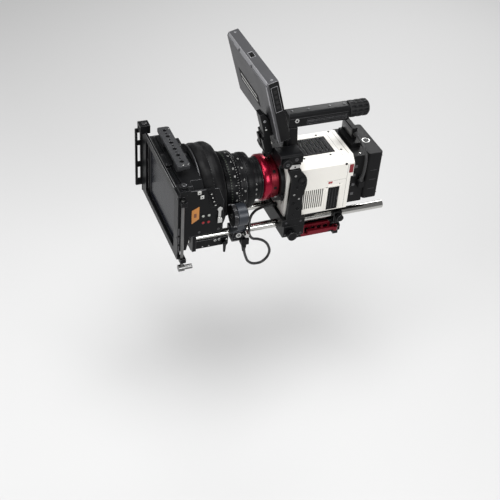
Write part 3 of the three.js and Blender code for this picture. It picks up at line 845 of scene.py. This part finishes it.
filters.done("camera", "bright_steel")

label = Piece("wing_label", orange_label, grey_mark, red_mark, painted_shade_and_seam_black, label_ink)
label.add(slab("x", 88, 88.35, [(-164, -6.5), (-151, 2), (-151, 27), (-164, 21)], 0.12))
label.add(box(88.3, 88.45, -160, -155.5, 6, 14, 0.05), 4)
for y, z, finish in ((-144, 6.5, 1), (-133.8, 6.5, 1), (-143.8, -7.2, 2), (-134.3, -7.2, 2)):
    # Painted shade in the gap round each button.
    label.add(ring(2.4, 3.6, 88, 88.9, "x", (0, y, z), 24, 0.2), 3)
    label.add(drum(2.5, 88, 89.6, "x", (0, y, z), 24, 0.9), finish)
label.done("camera", "red_plastic")

glass_frame = Piece("tray_fittings", black_chamfer_painted_glint, painted_shade_and_seam_black)
for x in (-14, 14):
    glass_frame.screw((x, -185, 69), "z", 1.6, 0.4)
# Lines of the lighter edge finish along the tray frame's edges: painted highlights.
for z in (-50.2, 50.2):
    glass_frame.add(box(-70.4, 70.4, -187.7, -187.4, z - 0.5, z + 0.5, 0.1))
glass_frame.done("tray_front", "black_anodised")


SEAMS = (-138.8, -117, -91)
SEAM_HALF_WIDTH = 1.2
INNER_HEM = 56
FOLDED_FROM = 57
FOLD_DEPTH = 0.007
CLOTH_STEPS = 20
MOST_SWELLING = 0.0015


def fold_at(angle, along):
    """Soft folds round the collar, as a share that runs from about -1.6 to 1.6."""
    return math.sin(angle * 9 + along * 0.16) + 0.6 * math.sin(angle * 17 - along * 0.1)


def sewn_donut():
    """The cloth collar between the filter stage and the lens, swollen between its seams."""
    outline = [
        (54, -138.5),
        (71, -138.8),
        (76, -134),
        (78.2, -127),
        (77.2, -119.5),
        (76.6, -117),
        (77.8, -112),
        (76.6, -104),
        (73, -97.5),
        (64, -93),
        (54, -91),
    ]
    made = turned(outline, steps=72, closed=True)
    bmesh.ops.subdivide_edges(made, edges=made.edges, cuts=2, use_grid_fill=True)
    for vert in made.verts:
        radius = math.hypot(vert.co.x, vert.co.z)
        angle = math.atan2(vert.co.z, vert.co.x)
        if radius > FOLDED_FROM:
            fold = fold_at(angle, vert.co.y)
            vert.co.x *= 1 + FOLD_DEPTH * fold
            vert.co.z *= 1 + FOLD_DEPTH * fold
    piece = Piece("cloth_donut", donut_fabric)
    piece.add(made)
    cloth = piece.done("camera", "donut_fabric", ["lens_donut"])
    mesh = cloth.data
    rest = [v.co.copy() for v in mesh.vertices]
    pins = cloth.vertex_groups.new(name="seams")
    for vert, place in zip(mesh.vertices, rest):
        here = HOME.inverted() @ place
        near = min(abs(here.y - seam) for seam in SEAMS)
        held = math.hypot(here.x, here.z) < INNER_HEM or near < SEAM_HALF_WIDTH
        if held:
            pins.add([vert.index], 1.0, "ADD")
    cloth.modifiers.new("cloth", "CLOTH")
    settings = cloth.modifiers["cloth"].settings
    settings.use_pressure = True
    settings.uniform_pressure_force = 4
    settings.vertex_group_mass = "seams"
    settings.effector_weights.gravity = 0
    settings.bending_stiffness = 0.2
    settings.tension_stiffness = settings.compression_stiffness = 6
    scene = bpy.context.scene
    for step in range(1, CLOTH_STEPS + 1):
        scene.frame_set(step)
    swollen = cloth.evaluated_get(bpy.context.evaluated_depsgraph_get()).to_mesh()
    moved = [v.co.copy() for v in swollen.vertices]
    cloth.evaluated_get(bpy.context.evaluated_depsgraph_get()).to_mesh_clear()
    cloth.modifiers.clear()
    scene.frame_set(1)
    for vert, start, end in zip(mesh.vertices, rest, moved):
        shift = end - start
        if shift.length > MOST_SWELLING:
            shift *= MOST_SWELLING / shift.length
        vert.co = start + shift
    finer = cloth.modifiers.new("finer", "SUBSURF")
    finer.levels = finer.render_levels = 1


sewn_donut()
collar = Piece("donut_bands", black_plastic, black_chamfer_painted_glint)
collar.add(ring(53.6, 57.5, -139.8, -137.6, soft=0.8))
collar.add(ring(53.2, 56.4, -92, -90.6, soft=0.5), 0)
# A band in the lighter edge finish: a painted highlight arc on the collar's rear rim.
collar.add(ring(68, 78.5, -139.9, -137.4, soft=1), 1)
# Ribs along the middle seam, in the lighter finish with its painted glint.
for i in range(96):
    collar.add(box(76.8, 77.4, -117.3, -116.7, -0.9, 0.9, 0.2, 1), 1, radial(i * 3.75))
collar.done("camera", "black_plastic")

# ---------- camera body ----------
trim = Piece("body_fittings", black_metal, painted_shade_and_seam_black, red_mark, white_paint, black_chamfer_painted_glint)
for x, y in ((22, 133), (-37, 135), (32, 108), (32, 58), (-32, 58), (-32, 108)):
    trim.screw((x, y, 47.5), "z", 2.1, 0.5)
for y, z in ((132, 36), (30, 32)):
    trim.screw((51, y, z), "x", 2.3, 0.5)
trim.add(drum(0.9, 50.9, 51.2, "x", (0, 124, -4), 16, 0.1), 0)
for y in (101.4, 105.4):
    trim.add(slab("x", 50.9, 51.3, [(y, -1.4), (y + 3.6, -1), (y + 3.6, 3.2), (y, 2.8)], 0.05), 2)
# Painted shade at the floor of each fin slot.
for side in (-1, 1):
    for i in range(10):
        y = 55 + 4 * i
        floor = sorted((side * 49.2, side * 49.5))
        trim.add(box(floor[0], floor[1], y, y + 2, -49, -9), 1)
# Painted shade at the floor of the front plate's two slots.
for x, z in ((36.1, -31.9), (31.1, -41.9)):
    trim.add(box(x, x + 2.8, 23.8, 24.05, z, z + 9.8), 1)
trim.add(box(-39.5, 39.5, 140.6, 141.1, 47.3, 47.56), 1)
trim.add(box(-39.5, 39.5, 128.4, 128.8, 47.3, 47.54), 1)
for side in (-1, 1):
    low, high = sorted((side * 50.8, side * 51.05))
    trim.add(box(low, high, 136.2, 136.6, -58, 35), 1)
    trim.add(box(low, high, 99, 136, 4.2, 4.5), 1)
for y0, y1, z0, z1 in (
    (97, 101.6, -59, -6),
    (97, 125.6, -8.8, -5.4),
    (125.3, 129.4, -59, -5.4),
):
    trim.add(box(50.4, 51.9, y0, y1, z0, z1, 0.5), 3)
for y in (60, 84, 108, 132):
    trim.screw((y - 96, 148, 20), "y", 1.8, 0.2)
# A card slot behind the media door, its inside painted with shade, with a strip of the lighter
# edge finish in it.
trim.add(box(48.9, 49.2, 105, 122, -54, -14), 1)
trim.add(box(49.1, 49.25, 111.5, 114.5, -50, -18), 4)
# A panel that closes the back of the shell below the battery plate.
trim.add(box(-46.8, 46.8, 143, 143.7, -55.8, 8.5), 0)
trim.done("camera", "white_paint")

slats = Piece("vent_slats", vent_light, painted_shade_and_seam_black)
for i in range(20):
    y = 42.2 + 4 * i
    slat = [(y, 48.2), (y + 1.3, 48.2), (y + 0.9, 49.1), (y + 0.5, 49.1)]
    slats.add(slab("x", -23.5, 23.5, slat, 0.1))
slats.done("camera", "black_plastic")

door = Piece("door_lines", grey_mark, black_chamfer_painted_glint)
for y in (106.2, 111.8, 117.4):
    door.add(box(51.4, 51.75, y, y + 0.45, -55, -13, 0.1), 1)
door.add(box(51.5, 51.9, 121.6, 123, -40, -28, 0.2), 1)
door.done("door", "black_plastic")

# ---------- cage ----------
screws = Piece("cage_fittings", black_metal, painted_shade_and_seam_black, steel, black_chamfer_painted_glint)
screws.add(ring(4.2, 8.6, 58.6, 60.4, "x", (0, 46, 21), 48, 0.7), 0)
# Painted shade in the knob's hexagonal socket.
screws.add(drum(4.4, 57, 59.3, "x", (0, 46, 21), 6, 0.4), 1)
for y, z, radius in ((32, 34, 1.9), (38, 8, 2.4), (33, -6, 1.9), (43, -16, 1.9), (34, -25, 2.5)):
    screws.screw((58.2, y, z), "x", radius, 1.3, 2 if radius < 2 else 0, 1)
for y, z in ((42, -38), (34, -50)):
    screws.screw((58.2, y, z), "x", 2.3, 1.2, 0, 1)
screws.add(box(50.6, 57, 20, 40, 46.5, 56.6, 1.2), 2)
# Painted shade in the hole of the steel block.
screws.add(drum(1.6, 56.4, 57.6, "x", (0, 30, 51.5), 20, 0.3), 1)
for x in (-30, -18, 26, 38):
    screws.screw((x, 29, 57), "z", 2.6, 1.4)
for y, z in ((12, 64), (32, 66)):
    screws.screw((56, y, z) if y > 20 else (65, y, z), "x", 3.2, 0.8, 3, 1)
for i in range(24):
    turn = Matrix.Translation((61.5, 12, 64)) @ Matrix.Rotation(TURN * i / 24, 4, "X")
    screws.add(box(-3, 3, -0.5, 0.5, 7.6, 8.5, 0.2, 1), 0, turn)
for y in (24, 40, 54):
    screws.screw((58, y, -94), "x", 1.9, 0.6, 3, 1)
for y in (24, 52):
    screws.screw((58, y, -67), "x", 2.0, 0.5, 3, 1)
for x in (-8, 8):
    screws.screw((x, 52, 57), "z", 1.6, 0.6, 2, 1)
screws.done("camera", "black_anodised")

# ---------- top handle ----------
rails = Piece("handle_fittings", black_chamfer_painted_glint, steel, painted_shade_and_seam_black, black_metal)
# Strips of the lighter edge finish along the handle's sides: painted highlights.
for side in (-1, 1):
    low, high = sorted((side * 11.9, side * 12.25))
    rails.add(box(low, high, 33, 144, 117.8, 118.4, 0.1), 0)
    rails.add(box(low, high, 64, 142, 108.6, 109.2, 0.1), 0)
rails.add(ring(1.9, 4.2, 11.8, 13.2, "x", (0, 46, 114), 32, 0.4), 1)
# Painted shade in the bore of the ring.
rails.add(drum(2.0, 11.4, 12.6, "x", (0, 46, 114), 20, 0.3), 2)
rails.screw((-12, 46, 114), "x", 4, -1.0, 1, 2)
for y in (40, 70, 110, 138):
    rails.screw((0, y, 127), "z", 2.4, 0.6, 0, 2)
for i in range(12):
    turn = Matrix.Translation((0, 0, 115)) @ Matrix.Rotation(TURN * (i + 0.5) / 12, 4, "Y")
    for y in (149, 161, 172):
        rails.add(box(13.9, 15.1, y, y + 8, -1.8, 1.8, 0.7), 3, turn)
rails.add(ring(3, 7, 183.6, 185, "y", (0, 0, 115), 40, 0.4), 0)
rails.done("camera", "black_anodised")
finished("handle_grip", grip_rubber, 0.5)

# ---------- monitor, drawn upright about its hinge ----------
screen = Piece(
    "monitor_fittings",
    monitor_chamfer_painted_glint,
    painted_shade_and_seam_black,
    steel,
    white_mark,
    monitor_grey,
    black_plastic,
)
left, right, near, low, top = -149, 38, 14.5, 26.8, 145.7
# Strips of the lighter edge finish along the top and right edges: painted highlights.
bevel_strip = [(14.35, top - 5.3), (18.3, top + 0.1), (18.7, top - 0.3), (14.8, top - 5.6)]
screen.add(slab("x", left + 3, right - 3, bevel_strip, 0.1), 0)
screen.add(box(right - 5, right - 0.4, near - 0.25, near + 0.2, low + 1, top - 5.6, 0.1), 0)
for x in (-92, -34):
    screen.add(box(x, x + 4, near - 0.7, near + 2.4, top - 6.4, top - 1.6, 0.6), 4)
badge = [(-120, 65), (-29, 61), (-29, 84), (-120, 90)]
screen.add(slab("y", near - 0.4, near + 0.2, badge, 0.2), 1)
# The badge's two ends: where each is across, its foot and its head.
BADGE_LEFT = (-112, 65, 89.5)
BADGE_RIGHT = (-37, 61.4, 84.5)
for low_share, high_share in ((0.22, 0.36), (0.62, 0.76)):
    bar = [
        (x, foot + (head - foot) * share)
        for (x, foot, head), share in (
            (BADGE_LEFT, low_share),
            (BADGE_RIGHT, low_share),
            (BADGE_RIGHT, high_share),
            (BADGE_LEFT, high_share),
        )
    ]
    screen.add(slab("y", near - 0.6, near - 0.3, bar, 0.1), 3)
# Painted shade in the recess under the top frame.
screen.add(box(-66.4, -49.6, 22.3, 30.4, top - 5.1, top - 4.3, 0.2), 1)
# A frame of the lighter edge finish round the top recess, with its painted highlight.
for x0, x1, y0, y1 in (
    (-67, -49, 21.7, 22.5),
    (-67, -49, 30.1, 30.9),
    (-67, -66.2, 22, 30.6),
    (-49.8, -49, 22, 30.6),
):
    screen.add(box(x0, x1, y0, y1, top - 0.4, top + 0.3, 0.1), 0)
screen.add(box(-61, -55, 24.6, 28, top - 4.5, top - 2.6, 0.4), 5)
for x in (left + 8, right - 8):
    screen.screw((x, near + 13, top - 0.6), "z", 2.0, 0.8, 0, 1)
side_cap = [
    (18.9, low + 0.6),
    (35.9, low + 0.6),
    (35.9, top - 0.6),
    (20.4, top - 0.6),
    (18.9, top - 2.4),
]
screen.add(slab("x", right - 0.1, right + 0.5, side_cap, 0.2), 5)
for y0, y1, z0, z1 in (
    (20.6, 21.1, 88, 137),
    (32, 32.5, 88, 137),
    (20.6, 32.5, 87.6, 88.2),
    (20.6, 32.5, 136.6, 137.2),
):
    screen.add(box(right + 0.4, right + 0.7, y0, y1, z0, z1, 0.1), 0)
# Painted shade in the side vents.
for z in (94, 104, 114, 124):
    screen.add(box(right + 0.4, right + 0.8, 23.6, 29.4, z, z + 6, 0.3), 1)
# Painted shade in an opening at the left end.
screen.add(box(left - 0.2, left + 0.4, 18, 32, 44, 60, 0.2), 1)
for x in (-140, 29):
    for z in (33, 139):
        screen.screw((x, 36.1, z), "y", 1.3, 0.3, 0, 1)
for i in range(5):
    screen.add(drum(2.6, 35.6, 36.9, "y", (-110 + 16 * i, 0, 33), 24, 0.5), 5)
screen.add(box(14.8, 15.4, 2.8, 5.8, 43.2, 46.2, 0.3), 3)
screen.add(box(14.8, 15.3, 3.4, 4.6, 48.4, 50.4, 0.2), 0)
screen.screw((15, 5, 62), "x", 2.4, 0.6, 0, 1)
screen.done("monitor", "monitor_shell", place=HOME @ LEAN)

# ---------- battery and power plate ----------
pack = Piece("battery_fittings", black_chamfer_painted_glint, painted_shade_and_seam_black, steel, black_plastic, white_mark)
for z in (-42, 38):
    pack.add(box(-46.6, 46.6, 204.3, 204.8, z, z + 0.6, 0.1), 0)
pack.add(box(-30, 30, 204.3, 205.2, -24, 22, 0.4), 3)
for i in range(5):
    pack.add(drum(1.2, 204.9, 205.5, "y", (-20 + 7 * i, 0, 14), 16, 0.2), 4)
# Painted shade in the gaps at the pack's two sides.
for x in (-47.95, 47.75):
    pack.add(box(x, x + 0.2, 181.8, 199.6, -46, 43), 1)
    for z in (-30, -10, 10):
        pack.add(box(x - 0.1, x + 0.3, 184, 197, z, z + 0.6, 0.05), 0)
pack.add(ring(5.7, 7.2, 46.3, 46.9, "z", (5, 190, 0), 40, 0.2), 2)
pack.add(box(-42, 42, 179.6, 180, 46.3, 46.62), 1)
pack.add(box(-42, 42, 200.6, 201, 46.3, 46.62), 1)
pack.done("battery_pack", "black_plastic")

plate = Piece("power_fittings", black_chamfer_painted_glint, painted_shade_and_seam_black, black_plastic, steel)
for x in (-38, 38):
    plate.screw((x, 162, 45), "z", 2.0, 0.5, 3, 1)
plate.add(box(-34, 4, 159.4, 160.3, 58, 74, 0.4), 0)
plate.add(drum(3.6, 5.8, 8.5, "x", (0, 165, 66), 24, 0.5), 2)
for z in (20, 0, -20, -40):
    plate.add(box(43.8 if z < 9 else 45.8, 44.3 if z < 9 else 46.3, 152, 158, z, z + 6, 0.2), 0)
plate.done("camera", "black_plastic")

# ---------- tripod plate ----------
base = Piece("tripod_fittings", black_chamfer_painted_glint, painted_shade_and_seam_black)
for y in (60, 100, 140):
    base.screw((33, y, -121), "x", 2.2, 0.6, 0, 1)
base.add(box(32.9, 33.4, 54, 146, -118.6, -118, 0.1), 0)
base.done("camera", "black_anodised")

# ---------- cord ends ----------
SLEEVE_LENGTH = 10


def sleeve(name, place, axis, side):
    """A ribbed taper where a cord goes into its socket, to one side (1 or -1) along an axis."""
    piece = Piece(name, cord_black)
    length = SLEEVE_LENGTH * side
    profile = [(2.5, 0), (4.3, 0), (4.3, length * 0.12)]
    for i in range(4):
        at = 0.2 + 0.2 * i
        wide = 4.1 - 0.42 * i
        profile += [
            (wide, length * at),
            (wide - 0.5, length * (at + 0.03)),
            (wide - 0.5, length * (at + 0.08)),
            (wide - 0.1, length * (at + 0.1)),
        ]
    profile += [(2.7, length), (2.5, length)]
    piece.add(turned(profile, axis, place, 32, closed=True))
    return piece.done("camera", "cord_jacket")


motor_ends = [
    sleeve("motor_lead_sleeve", (50, -51, -108.3), "z", -1),
    sleeve("front_lead_sleeve", (14, 13.6, -55), "y", -1),
]
aerial_ends = [
    sleeve("aerial_lead_sleeve", (8.2, 165, 66.1), "x", 1),
    sleeve("plate_lead_sleeve", (51, 165.6, -6), "z", 1),
]
for lead, node, route, ends, length in (
    (
        motor_lead,
        "motor_cord",
        MOTOR_ROUTE,
        [*motor_ends, "motor_socket_finished", "front_socket_finished"],
        0.2636,
    ),
    (aerial_lead, "aerial_cord", AERIAL_ROUTE, aerial_ends, 0.1028),
):
    lead.data.materials.append(cord_black)
    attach(lead, "camera")
    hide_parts(node)

# ---------- floor and light ----------
FLOOR_HEIGHT = -0.28
floor_mesh = bmesh.new()
bmesh.ops.create_grid(floor_mesh, x_segments=1, y_segments=1, size=8)
floor_data = bpy.data.meshes.new("floor")
floor_mesh.to_mesh(floor_data)
floor_mesh.free()
floor = bpy.data.objects.new("floor", floor_data)
bpy.context.collection.objects.link(floor)
floor.location.z = FLOOR_HEIGHT
floor_data.materials.append(Finish("floor", Base_Color=(0.62, 0.62, 0.62), Roughness=0.9).material)


def lamp(name, place, target, size, power):
    light = bpy.data.objects.new(name, bpy.data.lights.new(name, "AREA"))
    bpy.context.collection.objects.link(light)
    light.data.size = size
    light.data.energy = power
    light.location = place
    aim = Vector(target) - Vector(place)
    light.rotation_euler = aim.to_track_quat("-Z", "Y").to_euler()


MIDDLE = (0, -0.05, 0.13)
lamp("top_soft", (0.1, -0.2, 1.8), MIDDLE, 1.3, 36)
lamp("side_soft", (2.2, 0.3, 1.0), MIDDLE, 0.9, 25)
lamp("front_soft", (0.3, -2.3, 0.9), MIDDLE, 0.9, 24)
lamp("back_soft", (-1.6, 1.2, 1.2), MIDDLE, 0.9, 18)
world = bpy.data.worlds.new("studio")
bpy.context.scene.world = world
world.use_nodes = True
world.node_tree.nodes["Background"].inputs[0].default_value = (1, 1, 1, 1)
world.node_tree.nodes["Background"].inputs[1].default_value = 0.22
